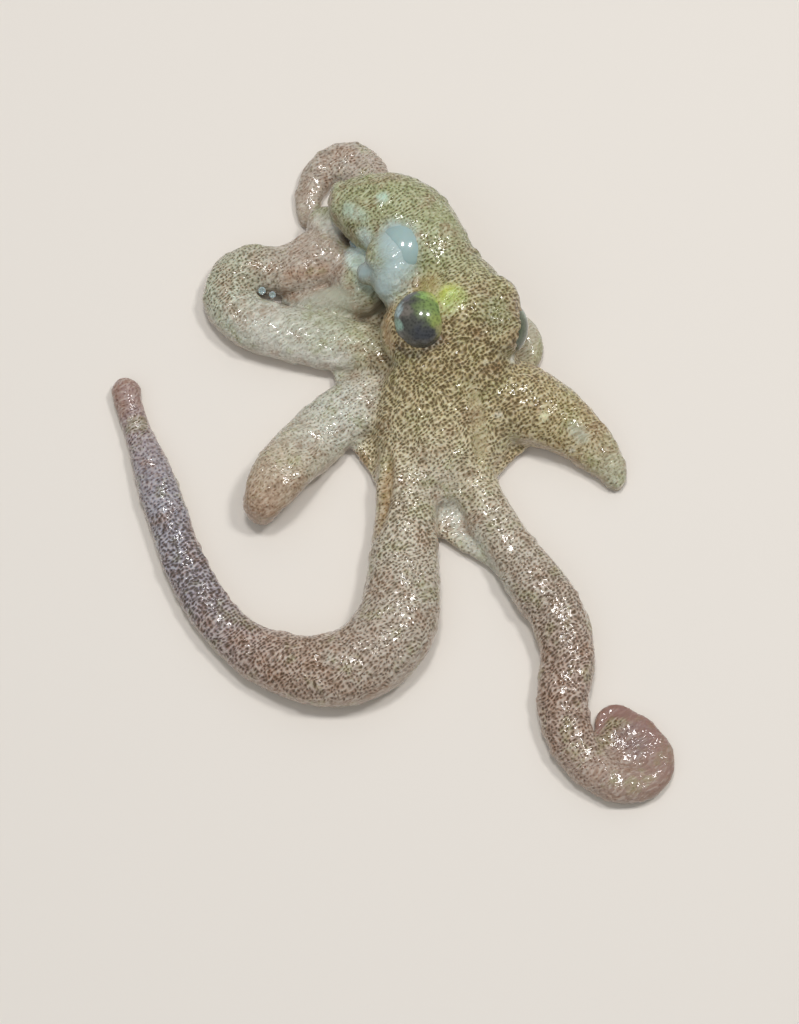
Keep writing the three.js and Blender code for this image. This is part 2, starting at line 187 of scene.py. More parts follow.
# Soft swellings of the skin: a middle and a full size.
swellings = {
    "cheekRight": ((-0.35, 1.6, 2.5), (3.1, 3.4, 2.0)),
    "behindLeftEye": ((2.75, 2.6, 3.1), (2.5, 2.7, 1.9)),
    "besideMantle": ((-4.2, 7.05, 0.9), (1.7, 1.9, 1.7)),
    "underSiphon": ((-2.7, 4.6, 1.0), (2.4, 3.2, 1.9)),
    "siphonRoot": ((-1.2, 4.0, 2.8), (2.1, 2.6, 2.3)),
    "siphonMiddle": ((-1.35, 4.75, 3.1), (2.3, 2.3, 2.1)),
    "siphonLobe": ((-2.35, 4.25, 2.5), (1.0, 1.0, 1.1)),
    "coilFilling": ((8.3, -15.3, 0.35), (2.5, 2.4, 0.9)),
    "knobL2a": ((6.4, -2.3, 1.05), (0.9, 0.8, 0.7)),
    "knobL2b": ((6.9, -3.1, 0.8), (0.7, 0.8, 0.8)),
    "knobL2c": ((7.5, -2.6, 0.8), (0.8, 0.7, 0.7)),
    "knobL2d": ((7.75, -3.6, 0.6), (0.8, 0.7, 0.8)),
    "knobL2e": ((8.0, -4.3, 0.45), (0.5, 0.6, 0.6)),
}
# Places where the skin differs from the limb it lies on: a line of places, a radius in mm, a
# tone with its share, the crowding of the dots and how far the skin sinks in mm.
patches = {
    "yellowOverEye": ([(0.95, 2.55, 4.3)], 0.75, "yellowGreen", 0.9, 0.15, 0),
    "greenOverEye": ([(0.8, 1.9, 4.5), (1.3, 2.4, 4.5)], 0.7, "leafGreen", 0.7, 0.35, 0),
    "goldBehindEye": ([(0.1, 3.2, 3.8)], 0.9, "gold", 0.75, 0.2, 0),
    "lidBrown": ([(-1.5, 2.4, 3.1), (-1.5, 0.9, 3.1)], 0.55, "ochre", 0.85, 0.3, 0),
    "lidShade": ([(-0.95, 0.75, 3.1), (-0.2, 0.42, 3.2), (0.5, 0.85, 3.8)], 0.45, "umber", 0.8, 0.9, 0),
    "lidPale": ([(-1.3, 3.2, 3.0)], 0.5, "mint", 0.8, 0.1, 0),
    "siphonBase": ([(-1.5, 3.5, 3.2), (-1.2, 4.2, 3.6), (-1.2, 5.2, 3.8)], 1.25, "siphonBlue", 1.0, 0, 0),
    "siphonBlue": ([(-1.6, 4.7, 3.6), (-1.2, 5.4, 3.8)], 0.7, "siphonBlue", 1.0, 0, 0),
    # this milky white spot is pale skin partly painted as a highlight
    "besideSiphon": ([(-2.54, 2.78, 2.1)], 0.4, "milkyGlint", 1.0, 0, 0),
    "underSiphon": ([(-2.5, 5.6, 1.6), (-2.3, 4.2, 1.6)], 0.9, "paleBlue", 0.9, 0.05, 0),
    "siphonBubble": ([(-2.6, 4.25, 2.8), (-2.3, 4.25, 3.1)], 0.65, "siphonBlue", 1.0, 0, 0),
    "siphonSide": ([(-2.4, 5.9, 3.0), (-2.0, 4.6, 2.8)], 0.6, "paleBlue", 0.8, 0.05, 0),
    "leftEyeGreen": ([(3.0, 1.9, 4.0)], 1.4, "darkOlive", 0.65, 0.6, 0),
    "leftEyeRim": ([(4.05, 2.6, 3.1), (4.1, 0.9, 2.6)], 0.5, "darkGreen", 0.85, 0.2, 0),
    # these milky white spots are pale skin partly painted as highlights
    "underLeftEye": ([(3.4, 0.6, 2.5)], 0.5, "milkyGlint", 0.9, 0.1, 0),
    "nextToIt": ([(2.68, 0.23, 2.9)], 0.28, "milkyGlint", 1.0, 0, 0),
    "mintBack": ([(-1.79, 7.12, 3.9)], 0.4, "mint", 0.9, 0.1, 0),
    "mintSide": ([(-3.21, 6.8, 3.3), (-2.62, 6.26, 3.8)], 0.5, "mint", 0.7, 0.2, 0),
    "oliveBack": ([(1.2, 5.6, 3.6), (0.3, 6.6, 3.6)], 0.8, "olive", 0.6, 0.4, 0),
    # the milky white streak and spot on this arm are pale skin partly painted as highlights
    "glintStreakL2": ([(3.05, -2.0, 2.3), (3.6, -2.6, 2.2)], 0.32, "milkyGlint", 1.0, 0, 0),
    "mintL2": ([(6.1, -2.2, 1.5), (6.5, -2.6, 1.4)], 0.5, "greyOlive", 0.9, 0.1, 0),
    "whiteGlintL2": ([(6.12, -3.0, 1.1)], 0.25, "milkyGlint", 1.0, 0, 0),
    "yellowL2": ([(4.9, -1.89, 1.9)], 0.3, "cream", 0.9, 0, 0),
    # this milky white spot is pale skin painted as a highlight
    "mintGlintL1": ([(3.0, -3.85, 1.4)], 0.3, "milkyGlint", 1.0, 0, 0),
    "yellowCrown": ([(-1.29, -3.14, 2.3)], 0.35, "cream", 0.9, 0.1, 0),
    "paleR1": ([(-3.78, -12.29, 1.8)], 0.6, "clearGrey", 0.7, 0.4, 0),
    # the grooves beside the crown are sunk and take a darker tone, painted shade along them
    "shadedGrooveR": ([(-1.7, -1.9, 2.3), (-1.62, -4.1, 1.6), (-1.7, -6.8, 1.2)], 0.5, "ochre", 0.8, 0.5, 0.2),
    "shadedGrooveL": ([(1.85, -0.7, 2.8), (2.2, -2.15, 2.2), (2.45, -3.5, 1.7)], 0.55, "tan", 0.8, 0.35, 0.2),
    "paleR3": ([(-7.6, 2.7, 0.9), (-6.3, 1.6, 0.9), (-3.5, 1.0, 1.0)], 0.85, "palest", 0.9, 0.3, 0),
    "lilacR3": ([(-4.4, 7.1, 1.4), (-3.6, 6.6, 1.6)], 0.6, "palest", 0.9, 0.05, 0),
    "blueR3": ([(-3.15, 5.8, 1.8), (-2.9, 5.0, 1.8)], 0.55, "paleBlue", 0.75, 0.15, 0),
    "warmR3": ([(-5.7, 4.7, 1.3), (-4.3, 4.9, 1.4)], 0.5, "rust", 0.6, 0.5, 0),
    "paleWeb": ([(1.0, -5.5, 0.6), (2.2, -7.2, 0.6), (3.6, -9.0, 0.6)], 0.85, "clearGrey", 0.85, 0.35, 0),
    # painted shade fills the pit of the coiled tip, over the tip's own mauve
    "coilPitShade": ([(8.3, -15.4, 0.6)], 1.1, "shadedMauve", 0.9, 0.25, 0.1),
    "paleR2": ([(-3.95, -1.93, 1.9), (-5.0, -3.0, 1.9)], 0.7, "clearGrey", 0.7, 0.4, 0),
}


def smoothAt(values, t):  # Catmull-Rom through a list, t from 0 to its last index
    last = len(values) - 1
    i = max(min(int(t), last - 1), 0)
    f = t - i
    a, b, c, d = (values[min(max(i + k, 0), last)] for k in (-1, 0, 1, 2))
    return b + 0.5 * f * (c - a + f * (2 * a - 5 * b + 4 * c - d + f * (3 * (b - c) + d - a)))


def toLinear(hexColour):  # an sRGB hex value as linear light
    channels = [int(hexColour[i:i + 2], 16) / 255 for i in (0, 2, 4)]
    return [c / 12.92 if c <= 0.04045 else ((c + 0.055) / 1.055) ** 2.4 for c in channels]


def routeOf(arm):  # places, headings and pitches along an arm
    place = Vector((*arm["root"], 0))
    heading, pitch = math.radians(arm["heading"]), 0.0
    stops = [(place.copy(), heading, pitch)]
    for length, turn, *climb in arm["bends"]:
        steps = round(length / armShape["routeStep"])
        run = length / steps
        for _ in range(steps):
            heading += math.radians(turn) / steps
            pitch += math.radians(climb[0] if climb else 0) / steps
            flat = run * math.cos(pitch)
            place += Vector((flat * math.cos(heading), flat * math.sin(heading), run * math.sin(pitch)))
            stops.append((place.copy(), heading, pitch))
    return stops


for limb in (*arms.values(), *folds.values()):
    limb["stops"] = routeOf(limb)
    limb["length"] = (len(limb["stops"]) - 1) * armShape["routeStep"]


def sectionAt(arm, distance):  # centre, side, up, half width and half thickness
    stops, length = arm["stops"], arm["length"]
    share = min(max(distance / length, 0), 1) * (len(stops) - 1)
    i = min(int(share), len(stops) - 2)
    (placeA, headingA, pitchA), (placeB, headingB, pitchB) = stops[i], stops[i + 1]
    f = share - i
    heading = headingA + (headingB - headingA) * f
    pitch = pitchA + (pitchB - pitchA) * f
    half = 0.5 * smoothAt(arm["girth"], distance / length * (len(arm["girth"]) - 1))
    tip = 0.5 * arm["girth"][-1]
    past = min(max(1 - (length - distance) / tip, 0), 0.999)
    half *= math.sqrt(1 - past * past)
    flatness = arm.get("flatness", armShape["flatness"])
    centre = placeA.lerp(placeB, f)
    centre.z += half * flatness * armShape["pressed"]
    side = Vector((math.sin(heading), -math.cos(heading), 0))
    up = Vector((-math.sin(pitch) * math.cos(heading), -math.sin(pitch) * math.sin(heading), math.cos(pitch)))
    return centre, side, up, half, half * flatness


def addTube(bm, places, sides, placeOf):
    # A unit circle is extruded along Z through the places, closed at both ends, and each of
    # its points is then laid where placeOf says.
    ring = bmesh.ops.create_circle(bm, cap_ends=True, radius=1, segments=sides)["verts"]
    bmesh.ops.translate(bm, vec=(0, 0, places[0]), verts=ring)
    edges = list({edge for vert in ring for edge in vert.link_edges})
    made = list(ring)
    for before, after in zip(places, places[1:]):
        grown = bmesh.ops.extrude_edge_only(bm, edges=edges)["geom"]
        ring = [item for item in grown if isinstance(item, bmesh.types.BMVert)]
        kept = set(ring)
        edges = [
            item for item in grown
            if isinstance(item, bmesh.types.BMEdge) and kept.issuperset(item.verts)
        ]
        bmesh.ops.translate(bm, vec=(0, 0, after - before), verts=ring)
        made += ring
    bmesh.ops.contextual_create(bm, geom=edges)
    for vert in made:
        vert.co = placeOf(*vert.co)
    return made


def evenly(start, end, steps):
    return [start + (end - start) * i / steps for i in range(steps + 1)]


def addArm(bm, arm):
    def placeOf(across, up, distance):
        centre, side, lift, half, thick = sectionAt(arm, distance)
        return centre + side * (across * half) + lift * (up * thick)

    length, tip = arm["length"], 0.5 * arm["girth"][-1]
    places = evenly(0, length - tip, round(length / armShape["ringStep"]))
    places += [length - share * tip for share in (0.6, 0.3, 0.12, 0.03)]
    addTube(bm, places, armShape["sides"], placeOf)


def addBody(bm):
    columns = list(zip(*body["sections"]))
    last = len(body["sections"]) - 1

    def placeOf(across, up, t):
        before, after = max(t - 0.05, 0), min(t + 0.05, last)
        ahead = Vector([smoothAt(columns[k], after) - smoothAt(columns[k], before) for k in (0, 1)])
        ahead.normalize()
        blunt = math.sqrt(max(t * (2 - t), 0.0001)) if t < 1 else 1
        half, under, back = (smoothAt(columns[k], max(t, 1)) for k in (2, 3, 4))
        across *= half * blunt
        z = 0.5 * (under + back) + up * 0.5 * (back - under) * blunt
        x = smoothAt(columns[0], t) + ahead.y * across
        y = smoothAt(columns[1], t) - ahead.x * across
        return Vector((x, y, z))

    places = [0.005, 0.03, 0.08] + evenly(0.15, last, last * body["ringsPerSection"])
    addTube(bm, places, body["sides"], placeOf)


def addCrown(bm):
    columns = list(zip(*crown["sections"]))
    last = len(crown["sections"]) - 1
    low = crown["floor"] + crown["web"]

    def placeOf(across, up, t):
        x, y, half, back, hollow = (smoothAt(column, t) for column in columns)
        height = low + (back - low) * up ** hollow if up > 0.001 else crown["floor"]
        return Vector((x - across * half, y, height))

    addTube(bm, evenly(0, last, last * crown["ringsPerSection"]), crown["sides"], placeOf)


def addWeb(bm, nameA, nameB, reachA, reachB, drawnIn):
    sides = []
    for name, reach in ((nameA, reachA), (nameB, reachB)):
        line = [sectionAt(arms[name], distance)[0] for distance in evenly(0.4, reach, webShape["steps"])]
        sides.append([Vector((place.x, place.y, webShape["bottom"])) for place in line])
    outA, outB = sides[0][-1], sides[1][-1]
    pull = (outA + outB) * 0.5 * (1 - drawnIn)
    pull.z = webShape["bottom"]
    edge = [outA * (1 - t) ** 2 + pull * 2 * t * (1 - t) + outB * t * t for t in evenly(0, 1, 10)[1:-1]]
    outline = sides[0] + edge + sides[1][::-1]
    face = bm.faces.new([bm.verts.new(place) for place in outline])
    grown = bmesh.ops.extrude_face_region(bm, geom=[face])["geom"]
    top = [item for item in grown if isinstance(item, bmesh.types.BMVert)]
    bmesh.ops.translate(bm, vec=(0, 0, webShape["thickness"]), verts=top)


def addBall(bm, at, size, segments=32):
    shape = Matrix.Translation(at) @ Matrix.Diagonal((*[s / 2 for s in size], 1))
    bmesh.ops.create_uvsphere(bm, u_segments=segments, v_segments=segments // 2, radius=1, matrix=shape)


def finished(name, bm):  # a bmesh in millimetres as an object in metres, smooth shaded
    mesh = bpy.data.meshes.new(name)
    bm.to_mesh(mesh)
    bm.free()
    mesh.transform(Matrix.Scale(millimetre, 4))
    for polygon in mesh.polygons:
        polygon.use_smooth = True
    piece = bpy.data.objects.new(name, mesh)
    bpy.context.scene.collection.objects.link(piece)
    return piece


def applied(piece):  # the piece with its modifiers made part of its mesh
    graph = bpy.context.evaluated_depsgraph_get()
    mesh = bpy.data.meshes.new_from_object(piece.evaluated_get(graph))
    piece.modifiers.clear()
    old, piece.data = piece.data, mesh
    bpy.data.meshes.remove(old)
    return piece


# Where the flesh's colours are taken from: a place, a radius, a tone and a crowding of dots.
def toneSamples():
    places, radii, tones, dots = [], [], [], []

    def note(place, radius, palette, crowding, share):
        colours = [Vector(toLinear(fleshTones[tone])) for tone in palette]
        places.append(tuple(place))
        radii.append(max(radius, 0.25))
        tones.append(tuple(smoothAt(colours, share * (len(colours) - 1))))
        dots.append(smoothAt(crowding, share * (len(crowding) - 1)))

    for limb in (*arms.values(), *folds.values()):
        steps = round(limb["length"] / 0.35)
        for distance in evenly(0, limb["length"], steps):
            centre, _, _, half, _ = sectionAt(limb, distance)
            note(centre, half, limb["tones"], limb["dots"], distance / limb["length"])
    for shape in (body, crown):
        columns = list(zip(*shape["sections"]))
        last = len(shape["sections"]) - 1
        for t in evenly(0, last, last * 4):
            values = [smoothAt(column, t) for column in columns]
            back = values[4] if shape is body else values[3]
            note((values[0], values[1], 0.6 * back), values[2], shape["tones"], shape["dots"], t / last)
    return np.array(places), np.array(radii), np.array(tones), np.array(dots)


skinShape = {
    "voxel": 0.115,       # mm between the points of the skin
    "softRounds": 14,     # how far the joins of the limbs are rounded off
    "thinLimb": 0.35,     # limbs thinner than this keep their shape
    "sharpness": 9.0,     # how quickly one limb's colour gives way to the next
    "wart": 0.06,         # mm the skin's warts stand up
    "wartsPerMm": 1.9,
    "crease": 0.03,       # mm the fine folds are deep
    "creasesPerMm": 4.2,
    "grooveShade": "75573a",   # painted shade gathered in the grooves between the limbs
    "grooveDepth": 0.012,
    "grooveRounds": 14,   # how far the painted groove shade spreads to its sides
    "flank": "b39d8a",    # clearer skin with fewer dots low on the limbs' sides, warmed by a painted glow of light through the thin flesh
    "bodyFlankShade": "625f38",  # painted shade: the head and the mantle darken towards their sides
    "underside": "cdbfa8",
}


def pointsOf(source, name):
    values = np.empty(len(source) * 3, np.float32)
    source.foreach_get(name, values)
    return values.reshape(-1, 3).astype(float)


def ramp(values, start, end):  # 0 at start, 1 at end, soft in between
    t = np.clip((values - start) / (end - start), 0, 1)
    return t * t * (3 - 2 * t)


def shareOf(points, line, radius):  # 1 on a line of places, falling to 0 at the radius
    away = np.full(len(points), np.inf)
    ends = [np.array(place) for place in line]
    for start, end in zip(ends, ends[1:] or ends):
        along = end - start
        t = np.clip((points - start) @ along / max(along @ along, 1e-9), 0, 1)
        away = np.minimum(away, np.linalg.norm(points - start - t[:, None] * along, axis=1))
    return ramp(away, radius, 0.25 * radius)


def joinFlesh():
    bm = bmesh.new()
    for limb in (*arms.values(), *folds.values()):
        addArm(bm, limb)
    addBody(bm)
    addCrown(bm)
    for web in webs:
        addWeb(bm, *web)
    for eye in eyes.values():
        addBall(bm, Vector(eye["at"]) + Vector(eye["lidMoved"]), eye["lidSize"])
    for at, size in swellings.values():
        addBall(bm, at, size)
    bmesh.ops.recalc_face_normals(bm, faces=bm.faces)
    mesh = bpy.data.meshes.new("skin")
    bm.to_mesh(mesh)
    bm.free()
    skin = bpy.data.objects.new("skin", mesh)
    bpy.context.scene.collection.objects.link(skin)
    remesh = skin.modifiers.new("oneSkin", "REMESH")
    remesh.mode = "VOXEL"
    remesh.voxel_size = skinShape["voxel"]
    return applied(skin)


def limbShares(points):  # tone, crowding of dots and girth of the limb that each point lies on
    places, radii, tones, dots = toneSamples()
    count = len(points)
    tone, dot, girth = np.zeros((count, 3)), np.zeros(count), np.zeros(count)
    for start in range(0, count, 8000):
        part = slice(start, start + 8000)
        away = np.linalg.norm(points[part, None, :] - places[None], axis=2) / radii
        weight = np.exp(-skinShape["sharpness"] * (away - away.min(1, keepdims=True)))
        weight /= weight.sum(1, keepdims=True)
        tone[part], dot[part], girth[part] = weight @ tones, weight @ dots, weight @ radii
    return tone, dot, girth


def soften(skin, girth):  # rounds off the joins, less on thin limbs
    group = skin.vertex_groups.new(name="softness")
    softness = np.clip((girth - 0.25) / skinShape["thinLimb"], 0.08, 1)
    for level in range(1, 21):
        chosen = np.nonzero(np.round(softness * 20) == level)[0]
        group.add(chosen.tolist(), level / 20, "REPLACE")
    smooth = skin.modifiers.new("softJoins", "SMOOTH")
    smooth.factor = 0.5
    smooth.iterations = skinShape["softRounds"]
    smooth.vertex_group = "softness"
    applied(skin)
    skin.vertex_groups.clear()


def hollowness(skin, points, normals):  # 1 in a groove between limbs, 0 on open skin
    edges = np.empty(len(skin.data.edges) * 2, np.int32)
    skin.data.edges.foreach_get("vertices", edges)
    start, end = edges.reshape(-1, 2).T
    count = np.bincount(start, minlength=len(points)) + np.bincount(end, minlength=len(points))

    def around(values):
        total = np.bincount(start, values[end], len(points)) + np.bincount(end, values[start], len(points))
        return total / np.maximum(count, 1)

    middle = np.stack([around(points[:, axis]) for axis in range(3)], axis=1)
    hollow = ((middle - points) * normals).sum(1)
    for _ in range(skinShape["grooveRounds"]):
        hollow = around(hollow)
    return ramp(hollow, 0, skinShape["grooveDepth"])


def buildSkin():
    skin = joinFlesh()
    print("skin joined:", len(skin.data.vertices), "points")
    tone, dot, girth = limbShares(pointsOf(skin.data.vertices, "co"))
    soften(skin, girth)

    points = pointsOf(skin.data.vertices, "co")
    normals = pointsOf(skin.data.vertex_normals, "vector")
    up = normals[:, 2]
    flank = ramp(up, 0.6, 0.1)
    under = ramp(up, -0.1, -0.6)
    onBody = ramp(points[:, 2], 1.6, 2.6)
    bodyEdgeShade = ramp(up, 0.85, 0.2) * onBody
    # the limbs' low sides take a clearer warm tone, partly a painted glow of light shining through them
    tone += (np.array(toLinear(skinShape["flank"])) - tone) * (0.4 * flank * (1 - onBody))[:, None]
    # painted shade darkens the head and the mantle towards their sides
    tone += (np.array(toLinear(skinShape["bodyFlankShade"])) - tone) * (0.6 * bodyEdgeShade)[:, None]
    tone += (np.array(toLinear(skinShape["underside"])) - tone) * under[:, None]
    dot *= 1 - 0.6 * flank
    dot *= 1 - under
    # painted shade: the tone darkens in the grooves between the limbs, where shade falls
    grooveShade = hollowness(skin, points, normals) * (1 - under)
    tone += (np.array(toLinear(skinShape["grooveShade"])) - tone) * (0.6 * grooveShade)[:, None]
    sunk = np.zeros(len(points))
    for line, radius, patchTone, amount, crowding, depth in patches.values():
        share = shareOf(points, line, radius)
        tone += (np.array(toLinear(fleshTones[patchTone])) - tone) * (amount * share)[:, None]
        dot += (crowding - dot) * amount * share
        sunk += depth * share

    # warts and fine folds stand along the normals
    thick = np.minimum(girth, 1.0)
    for i, place in enumerate(map(Vector, points)):
        lump = max(noise.noise(place * skinShape["wartsPerMm"]) - 0.05, 0) * 2.2
        fold = noise.noise(place * skinShape["creasesPerMm"])
        rise = (skinShape["wart"] * lump + skinShape["crease"] * fold) * thick[i] - sunk[i]
        points[i] += normals[i] * rise
    points[:, 2] = np.maximum(points[:, 2], 0.1 * thick)
    skin.data.vertices.foreach_set("co", points.astype(np.float32).ravel())
    skin.data.update()

    toneLayer = skin.data.attributes.new("skinTone", "FLOAT_COLOR", "POINT")
    toneLayer.data.foreach_set("color", np.hstack([tone, np.ones((len(tone), 1))]).astype(np.float32).ravel())
    dotLayer = skin.data.attributes.new("dotCrowding", "FLOAT", "POINT")
    dotLayer.data.foreach_set("value", dot.astype(np.float32))
    skin.data.transform(Matrix.Scale(millimetre, 4))
    for polygon in skin.data.polygons:
        polygon.use_smooth = True
    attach(skin, "root")
    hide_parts(*fleshNodes)
    return skin


skin = buildSkin()
print("skin shaped:", len(skin.data.polygons), "faces")

sucker = {
    "rowOut": 0.4,        # rows stand this share of the arm's half width from its middle
    "across": 0.36,       # outer width as a share of the arm's half width
    "widest": 0.42,       # mm
    "spacing": 1.15,      # of its own width
    "tall": 0.16,         # mm
    "sides": 8,
    "firstAt": 1.2,       # mm from the root
    "lastBefore": 0.4,
}
# Glassy suckers that show beside the folded arm: place, the way they face and their width.
glassySuckers = [
    ((-2.9, 6.0, 1.75), (-0.3, -0.3, 1), 0.55), ((-3.3, 4.95, 1.45), (-0.1, -0.6, 1), 0.6),
    ((-3.1, 4.2, 1.5), (0.1, -0.4, 1), 0.45), ((-6.9, 4.1, 1.0), (0.2, -0.4, 1), 0.36),
    ((-6.45, 3.95, 0.92), (0.1, -0.4, 1), 0.32),
]


def suckerMesh():
    # a round rim 1 wide and 1 tall that stands on a short stalk, hollow in the middle
    rims = [(0.3, 0), (0.5, 0.45), (0.46, 0.95), (0.3, 1.0), (0.2, 0.55)]

    def placeOf(across, up, level):
        radius, height = rims[round(level)]
        return Vector((across * radius, up * radius, height))

    bm = bmesh.new()
    addTube(bm, [0, 1, 2, 3, 4], sucker["sides"], placeOf)
    bmesh.ops.recalc_face_normals(bm, faces=bm.faces)
    mesh = bpy.data.meshes.new("sucker")
    bm.to_mesh(mesh)
    bm.free()
    return mesh


def addSucker(bm, shape, at, axis, across):
    turn = Vector(axis).to_track_quat("Z", "Y").to_matrix().to_4x4()
    copy = shape.copy()
    copy.transform(Matrix.Translation(at) @ turn @ Matrix.Diagonal((across, across, sucker["tall"], 1)))
    bm.from_mesh(copy)
    bpy.data.meshes.remove(copy)


def buildSuckers():
    shape = suckerMesh()
    bm = bmesh.new()
    for arm in arms.values():
        distance = sucker["firstAt"]
        row = 1
        while distance < arm["length"] - sucker["lastBefore"]:
            centre, side, up, half, thick = sectionAt(arm, distance)
            across = min(sucker["across"] * half * 2, sucker["widest"])
            if up.z > 0.95:
                at = centre + side * (row * sucker["rowOut"] * half)
                at.z = sucker["tall"]
                addSucker(bm, shape, at, (0, 0, -1), across)
            distance += 0.5 * sucker["spacing"] * across
            row = -row
    piece = finished("suckers", bm)
    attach(piece, "root")
    return piece


def buildGlassySuckers():
    shape = suckerMesh()
    bm = bmesh.new()
    for at, axis, across in glassySuckers:
        addSucker(bm, shape, at, axis, across)
    piece = finished("glassySuckers", bm)
    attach(piece, "root")
    return piece


suckers = buildSuckers()
clearSuckers = buildGlassySuckers()
print("suckers made:", len(suckers.data.polygons), "faces")


def buildEye(name, eye):
    bm = bmesh.new()
    addBall(bm, eye["at"], eye["size"], 64)
    piece = finished(name, bm)
    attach(piece, "root")
    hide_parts(eye["node"])
    return piece


eyePieces = {name: buildEye(name, eye) for name, eye in eyes.items()}

# The siphon's clear lip at the end of its body in the skin.
siphonLip = {"at": (-0.9, 5.1, 3.4), "size": (2.0, 2.3, 1.5)}


def buildSiphon():
    bm = bmesh.new()
    addBall(bm, siphonLip["at"], siphonLip["size"], 48)
    piece = finished("siphonLip", bm)
    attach(piece, "root")
    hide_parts("siphon")
    return piece


siphonPiece = buildSiphon()
print("eyes and siphon made")


def addNode(tree, kind, inputs, **settings):
    node = tree.nodes.new(kind)
    for name, value in settings.items():
        setattr(node, name, value)
    for name, value in inputs.items():
        if isinstance(value, bpy.types.NodeSocket):
            tree.links.new(value, node.inputs[name])
        else:
            node.inputs[name].default_value = value
    return node


def newMaterial(name):
    material = bpy.data.materials.new(name)
    material.use_nodes = True
    tree = material.node_tree
    shader = tree.nodes["Principled BSDF"]
    return material, tree, shader


def rgb(hexColour):
    return (*toLinear(hexColour), 1)


# Octopus skin, alive and wet: translucent, with pigment dots in it under a film of water.
skinFinish = {
    "dotSpacing": 0.14,  # mm between the pigment dots
    "fineSpacing": 0.1,  # mm between the faint specks among them
    "dotDark": "3a2412",
    "speck": "7d5c40",
    "ridgeAndSheen": "e8e6da",    # the clear skin that stands up between the dots, lightened with a painted sheen of the wet film
    "ridgeAcross": 0.11,   # mm
    "ridgeAlong": 0.45,    # mm
    "blotch": 1.1,        # mm, size of the warm and green clouds
    "warm": "8e6443",
    "green": "868c48",
    "ripple": 0.8,       # mm between the ripples of the film of water
    "streak": 1.25,       # dots are this much longer along the grain
    "grain": 35,          # degrees of the grain from +X
}


